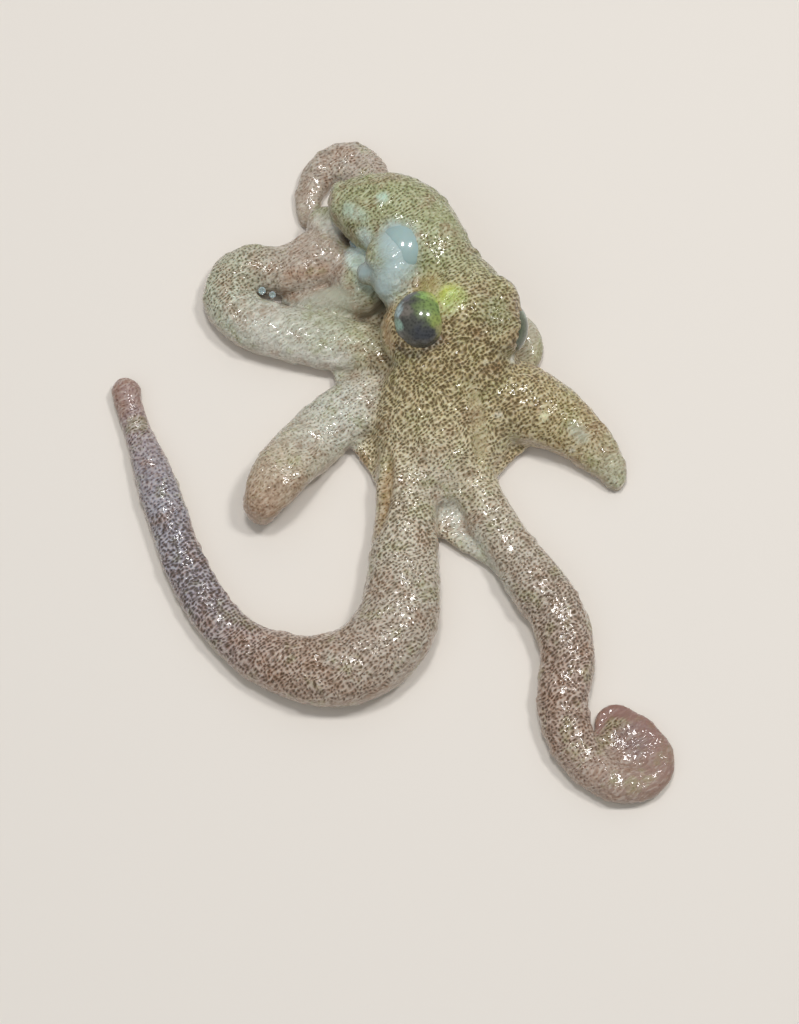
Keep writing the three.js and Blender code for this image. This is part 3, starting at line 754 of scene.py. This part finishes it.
def skinMaterial():
    material, tree, shader = newMaterial("wetOctopusSkin")
    f = skinFinish

    where = addNode(tree, "ShaderNodeTexCoord", {}).outputs["Object"]
    inMm = addNode(tree, "ShaderNodeMapping", {"Vector": where, "Scale": (1000, 1000, 1000)})
    mmPlace = inMm.outputs["Vector"]
    tone = addNode(tree, "ShaderNodeAttribute", {}, attribute_name="skinTone").outputs["Color"]
    crowding = addNode(tree, "ShaderNodeAttribute", {}, attribute_name="dotCrowding").outputs["Fac"]
    normal = addNode(tree, "ShaderNodeNewGeometry", {}).outputs["Normal"]
    facingUp = addNode(tree, "ShaderNodeSeparateXYZ", {"Vector": normal}).outputs["Z"]
    top = addNode(
        tree, "ShaderNodeMapRange",
        {"Value": facingUp, "From Min": 0.3, "From Max": 0.5, "To Min": 0.0, "To Max": 1.0},
        interpolation_type="SMOOTHSTEP",
    ).outputs["Result"]

    # rows of dots wander a little, and are drawn out along the grain
    wobble = addNode(tree, "ShaderNodeTexNoise", {"Vector": mmPlace, "Scale": 1.1, "Detail": 1.0})
    shiver = addNode(tree, "ShaderNodeTexNoise", {"Vector": mmPlace, "Scale": 4.5, "Detail": 1.0})
    bent = mmPlace
    for texture, reach in ((wobble, 0.4), (shiver, 0.08)):
        bent = addNode(
            tree, "ShaderNodeVectorMath",
            {0: texture.outputs["Color"], 1: (reach, reach, reach), 2: bent},
            operation="MULTIPLY_ADD",
        ).outputs["Vector"]
    grain = addNode(
        tree, "ShaderNodeMapping",
        {"Vector": bent, "Rotation": (0, 0, math.radians(-f["grain"]))},
    ).outputs["Vector"]
    stretched = addNode(
        tree, "ShaderNodeMapping", {"Vector": grain, "Scale": (1 / f["streak"], 1, 1)},
    ).outputs["Vector"]

    # dots laid flat on the upper side, and through the flesh on the flanks
    patterns = []
    for dimensions in ("2D", "3D"):
        patterns.append(addNode(
            tree, "ShaderNodeTexVoronoi",
            {"Vector": stretched, "Scale": 1 / f["dotSpacing"], "Randomness": 0.6},
            voronoi_dimensions=dimensions,
        ))
    away = addNode(
        tree, "ShaderNodeMix",
        {0: top, 2: patterns[1].outputs["Distance"], 3: patterns[0].outputs["Distance"]},
        data_type="FLOAT",
    ).outputs[0]
    chance = addNode(tree, "ShaderNodeSeparateColor", {"Color": patterns[0].outputs["Color"]}).outputs["Red"]
    patchy = addNode(
        tree, "ShaderNodeTexNoise", {"Vector": mmPlace, "Scale": 1.9, "Detail": 2.0},
    ).outputs["Fac"]

    # a dot's radius grows with the crowding and differs from dot to dot
    size = -0.38
    for cause, share in ((crowding, 0.56), (chance, 0.1), (patchy, 0.25)):
        size = addNode(
            tree, "ShaderNodeMath", {0: cause, 1: share, 2: size}, operation="MULTIPLY_ADD",
        ).outputs[0]
    fromRim = addNode(tree, "ShaderNodeMath", {0: away, 1: size}, operation="SUBTRACT").outputs[0]
    dotMask = addNode(
        tree, "ShaderNodeMapRange",
        {"Value": fromRim, "From Min": -0.2, "From Max": 0.2, "To Min": 0.85, "To Max": 0.0},
        interpolation_type="SMOOTHSTEP",
    ).outputs["Result"]
    # flesh without dots is clear and smooth
    present = addNode(
        tree, "ShaderNodeMapRange",
        {"Value": crowding, "From Min": 0.0, "From Max": 0.3, "To Min": 0.0, "To Max": 1.0},
        interpolation_type="SMOOTHSTEP",
    ).outputs["Result"]
    # clear skin stands between crowded dots like a net, painted light with a sheen of the wet film
    netAndSheenMask = addNode(
        tree, "ShaderNodeMapRange",
        {"Value": fromRim, "From Min": 0.15, "From Max": 0.4, "To Min": 0.0, "To Max": 0.45},
        interpolation_type="SMOOTHSTEP",
    ).outputs["Result"]
    netAndSheenMask = addNode(tree, "ShaderNodeMath", {0: netAndSheenMask, 1: crowding}, operation="MULTIPLY").outputs[0]
    specks = addNode(
        tree, "ShaderNodeTexVoronoi",
        {"Vector": stretched, "Scale": 1 / f["fineSpacing"], "Randomness": 1.0},
    )
    speckMask = addNode(
        tree, "ShaderNodeMapRange",
        {
            "Value": specks.outputs["Distance"],
            "From Min": 0.15, "From Max": 0.5, "To Min": 0.45, "To Max": 0.0,
        },
        interpolation_type="SMOOTHSTEP",
    ).outputs["Result"]

    # short clear ridges along the grain, painted light with a sheen of the wet film
    drawnOut = addNode(
        tree, "ShaderNodeMapping",
        {"Vector": grain, "Scale": (1 / f["ridgeAlong"], 1 / f["ridgeAcross"], 1 / f["ridgeAcross"])},
    ).outputs["Vector"]
    ridges = addNode(
        tree, "ShaderNodeTexNoise", {"Vector": drawnOut, "Scale": 1.0, "Detail": 1.0},
    ).outputs["Fac"]
    ridgeAndSheenMask = addNode(
        tree, "ShaderNodeMapRange",
        {"Value": ridges, "From Min": 0.5, "From Max": 0.68, "To Min": 0.0, "To Max": 0.4},
        interpolation_type="SMOOTHSTEP",
    ).outputs["Result"]

    clouds = addNode(
        tree, "ShaderNodeTexNoise",
        {"Vector": mmPlace, "Scale": 1 / f["blotch"], "Detail": 4.0, "Roughness": 0.6},
    ).outputs["Fac"]
    warmMask = addNode(
        tree, "ShaderNodeMapRange",
        {"Value": clouds, "From Min": 0.5, "From Max": 0.66, "To Min": 0.0, "To Max": 0.5},
        interpolation_type="SMOOTHSTEP",
    ).outputs["Result"]
    greenMask = addNode(
        tree, "ShaderNodeMapRange",
        {"Value": clouds, "From Min": 0.47, "From Max": 0.34, "To Min": 0.0, "To Max": 0.4},
        interpolation_type="SMOOTHSTEP",
    ).outputs["Result"]

    # the valleys between the ridges are darkened where dots are crowded
    valley = addNode(
        tree, "ShaderNodeMapRange",
        {"Value": ridges, "From Min": 0.48, "From Max": 0.34, "To Min": 0.0, "To Max": 0.6},
        interpolation_type="SMOOTHSTEP",
    ).outputs["Result"]
    valleyMask = addNode(tree, "ShaderNodeMath", {0: valley, 1: crowding}, operation="MULTIPLY").outputs[0]

    # pigment is the skin's own tone made darker and browner; clear skin is made lighter and cooler, partly a
    # painted sheen of the wet film
    mixed = {}
    for kind, tint, share in (("dotDark", (0.3, 0.25, 0.15), 0.8), ("ridgeAndSheen", (1.6, 1.68, 1.75), 0.55)):
        own = addNode(
            tree, "ShaderNodeVectorMath", {0: tone, 1: tint}, operation="MULTIPLY",
        ).outputs["Vector"]
        mixed[kind] = addNode(
            tree, "ShaderNodeMix", {0: share, 6: rgb(f[kind]), 7: own}, data_type="RGBA",
        ).outputs[2]

    # clearer and lighter between the dots, so that the whole keeps its tone
    squared = addNode(tree, "ShaderNodeMath", {0: crowding, 1: crowding}, operation="MULTIPLY").outputs[0]
    lift = addNode(
        tree, "ShaderNodeMath", {0: squared, 1: 0.35, 2: 1.0}, operation="MULTIPLY_ADD",
    ).outputs[0]
    colour = addNode(
        tree, "ShaderNodeVectorMath", {0: tone, "Scale": lift}, operation="SCALE",
    ).outputs["Vector"]
    for mask, over in (
        (warmMask, rgb(f["warm"])), (greenMask, rgb(f["green"])), (speckMask, rgb(f["speck"])),
        (ridgeAndSheenMask, mixed["ridgeAndSheen"]), (netAndSheenMask, mixed["ridgeAndSheen"]), (valleyMask, mixed["dotDark"]),
        (dotMask, mixed["dotDark"]),
    ):
        mask = addNode(tree, "ShaderNodeMath", {0: mask, 1: present}, operation="MULTIPLY").outputs[0]
        colour = addNode(
            tree, "ShaderNodeMix", {0: mask, 6: colour, 7: over}, data_type="RGBA",
        ).outputs[2]

    height = addNode(tree, "ShaderNodeMath", {0: ridges, 1: dotMask}, operation="SUBTRACT").outputs[0]
    relief = addNode(
        tree, "ShaderNodeBump", {"Strength": 1.0, "Distance": 0.00004, "Height": height},
    ).outputs["Normal"]
    ripple = addNode(
        tree, "ShaderNodeTexNoise",
        {"Vector": grain, "Scale": 1 / f["ripple"], "Detail": 2.0, "Distortion": 0.6},
    ).outputs["Fac"]
    film = addNode(
        tree, "ShaderNodeBump", {"Strength": 1.0, "Distance": 0.00017, "Height": ripple},
    ).outputs["Normal"]
    tree.links.new(colour, shader.inputs["Base Color"])
    tree.links.new(relief, shader.inputs["Normal"])
    tree.links.new(film, shader.inputs["Coat Normal"])
    shader.inputs["Roughness"].default_value = 0.5
    shader.inputs["IOR"].default_value = 1.37
    shader.inputs["Subsurface Weight"].default_value = 0.25
    shader.inputs["Subsurface Radius"].default_value = (1.0, 0.55, 0.35)
    shader.inputs["Subsurface Scale"].default_value = 0.00015
    shader.inputs["Coat Weight"].default_value = 1.0
    shader.inputs["Coat Roughness"].default_value = 0.06
    shader.inputs["Coat IOR"].default_value = 1.33
    return material


def plainWet(name, colour, roughness):  # wet flesh: soft within, with a thin bright film on it
    material, tree, shader = newMaterial(name)
    shader.inputs["Base Color"].default_value = rgb(colour)
    shader.inputs["Roughness"].default_value = roughness
    shader.inputs["Subsurface Weight"].default_value = 0.3
    shader.inputs["Subsurface Radius"].default_value = (1.0, 0.6, 0.4)
    shader.inputs["Subsurface Scale"].default_value = 0.0004
    shader.inputs["Coat Weight"].default_value = 1.0
    shader.inputs["Coat Roughness"].default_value = 0.04
    return material


def glassy(name, colour, clear):  # clear flesh full of water
    material = plainWet(name, colour, 0.25)
    shader = material.node_tree.nodes["Principled BSDF"]
    shader.inputs["Transmission Weight"].default_value = clear
    shader.inputs["IOR"].default_value = 1.36
    return material


# The skin of the eyeball: silvery and dark under a clear wet surface, with spots given by a place,
# a radius in mm and a colour. Most spots are iridescent; the left eye's teal one is a painted highlight.
eyeFinish = {
    "base": "44443e",
    "mottleSpacing": 0.12,  # mm
    "eyeRight": [
        ((0.3, 2.0, 4.45), 1.0, "6c8046"), ((0.4, 2.8, 4.1), 0.7, "a2ad60"),
        ((-0.1, 2.6, 4.3), 0.45, "7d9a55"), ((0.8, 2.4, 4.0), 0.6, "c6d35e"),
        ((0.5, 1.4, 4.3), 0.55, "7f8a4a"), ((0.75, 1.2, 3.9), 0.6, "8f8a5c"),
        ((-0.75, 2.65, 4.1), 0.55, "58525a"), ((-0.75, 1.8, 4.4), 0.45, "6c665e"),
        ((-1.15, 2.0, 4.0), 0.45, "95acb0"), ((-1.15, 1.35, 3.9), 0.45, "7b9a8c"),
        ((-0.1, 0.95, 4.1), 0.6, "3a3c40"),
    ],
    "eyeLeft": [
        # the teal spot at (4.2, 2.3, 3.1) is a painted highlight on the left eye
        ((4.1, 1.6, 2.8), 1.9, "465038"), ((4.2, 2.3, 3.1), 0.6, "5f7a64"),
        ((4.2, 1.3, 2.6), 0.5, "6b7f5c"),
    ],
}


def eyeMaterial(name):
    material, tree, shader = newMaterial(name + "Ball")
    where = addNode(tree, "ShaderNodeTexCoord", {}).outputs["Object"]
    inMm = addNode(tree, "ShaderNodeMapping", {"Vector": where, "Scale": (1000, 1000, 1000)})
    ripple = addNode(
        tree, "ShaderNodeTexNoise", {"Vector": inMm.outputs["Vector"], "Scale": 2.5, "Detail": 3.0},
    )
    bent = addNode(
        tree, "ShaderNodeVectorMath",
        {0: ripple.outputs["Color"], 1: (0.7, 0.7, 0.7), 2: inMm.outputs["Vector"]},
        operation="MULTIPLY_ADD",
    ).outputs["Vector"]
    colour = rgb(eyeFinish["base"])
    for place, radius, spot in eyeFinish[name]:
        middle = [value + 0.35 for value in place]  # the ripple moves every place by this on average
        away = addNode(
            tree, "ShaderNodeVectorMath", {0: bent, 1: middle}, operation="DISTANCE",
        ).outputs["Value"]
        mask = addNode(
            tree, "ShaderNodeMapRange",
            {"Value": away, "From Min": 0.3 * radius, "From Max": radius, "To Min": 0.95, "To Max": 0.0},
            interpolation_type="SMOOTHSTEP",
        ).outputs["Result"]
        colour = addNode(
            tree, "ShaderNodeMix", {0: mask, 6: colour, 7: rgb(spot)}, data_type="RGBA",
        ).outputs[2]
    mottles = addNode(
        tree, "ShaderNodeTexVoronoi",
        {"Vector": inMm.outputs["Vector"], "Scale": 1 / eyeFinish["mottleSpacing"], "Randomness": 1.0},
    ).outputs["Distance"]
    light = addNode(
        tree, "ShaderNodeMapRange",
        {"Value": mottles, "From Min": 0.05, "From Max": 0.65, "To Min": 0.55, "To Max": 1.3},
    ).outputs["Result"]
    colour = addNode(
        tree, "ShaderNodeVectorMath", {0: colour, "Scale": light}, operation="SCALE",
    ).outputs["Vector"]
    tree.links.new(colour, shader.inputs["Base Color"])
    shader.inputs["Roughness"].default_value = 0.3
    shader.inputs["IOR"].default_value = 1.37
    shader.inputs["Coat Weight"].default_value = 1.0
    shader.inputs["Coat Roughness"].default_value = 0.03
    return material


skin.data.materials.append(skinMaterial())
suckers.data.materials.append(plainWet("suckerFlesh", "c9bda6", 0.4))
clearSuckers.data.materials.append(glassy("clearSucker", "c2d0d0", 0.5))
siphonPiece.data.materials.append(glassy("siphonFlesh", "aac2bf", 0.2))
for name, piece in eyePieces.items():
    piece.data.materials.append(eyeMaterial(name))
print("materials made")

studio = {
    "floorColour": "ded7ce",
    "floorHalf": 0.6,     # m
    "worldColour": "dfe3e8",
    "worldStrength": 0.31,
}
camera = {"elevation": 72, "distance": 0.12, "lens": 101.25, "target": (-0.00106, -0.00543, 0)}


def buildStudio():
    bm = bmesh.new()
    bmesh.ops.create_grid(bm, x_segments=1, y_segments=1, size=studio["floorHalf"])
    mesh = bpy.data.meshes.new("floor")
    bm.to_mesh(mesh)
    bm.free()
    floor = bpy.data.objects.new("floor", mesh)
    bpy.context.scene.collection.objects.link(floor)
    material, tree, shader = newMaterial("paintedBoard")  # matt paint, which shows no mirror image
    shader.inputs["Base Color"].default_value = rgb(studio["floorColour"])
    shader.inputs["Roughness"].default_value = 0.7
    mesh.materials.append(material)
    world = bpy.data.worlds.new("studio")
    world.use_nodes = True
    background = world.node_tree.nodes["Background"]
    background.inputs["Color"].default_value = rgb(studio["worldColour"])
    background.inputs["Strength"].default_value = studio["worldStrength"]
    bpy.context.scene.world = world


def addLight(name, azimuth, elevation, distance, size, power, glints=True):
    data = bpy.data.lights.new(name, "AREA")
    data.shape = "DISK"
    data.size = size
    data.energy = power
    lamp = bpy.data.objects.new(name, data)
    a, e = math.radians(azimuth), math.radians(elevation)
    lamp.location = Vector((math.sin(a) * math.cos(e), -math.cos(a) * math.cos(e), math.sin(e))) * distance
    lamp.rotation_euler = lamp.location.to_track_quat("Z", "Y").to_euler()
    lamp.visible_glossy = glints
    bpy.context.scene.collection.objects.link(lamp)


def buildCamera():
    data = bpy.data.cameras.new("camera")
    data.lens = camera["lens"]
    data.sensor_width = 36
    data.clip_start = 0.005
    data.clip_end = 5
    view = bpy.data.objects.new("camera", data)
    e = math.radians(camera["elevation"])
    target = Vector(camera["target"])
    view.location = target + Vector((0, -math.cos(e), math.sin(e))) * camera["distance"]
    view.rotation_euler = (math.radians(90) - e, 0, 0)
    bpy.context.scene.collection.objects.link(view)
    bpy.context.scene.camera = view


buildStudio()
addLight("softTop", -40, 62, 0.45, 0.6, 0.5, glints=False)
addLight("softBack", 160, 50, 0.4, 0.4, 0.18, glints=False)
addLight("sparkLeft", 195, 79, 0.25, 0.045, 0.205)
addLight("sparkRight", 112, 64, 0.25, 0.045, 0.205)
buildCamera()
bpy.context.scene.view_settings.view_transform = "Standard"
print("studio set")
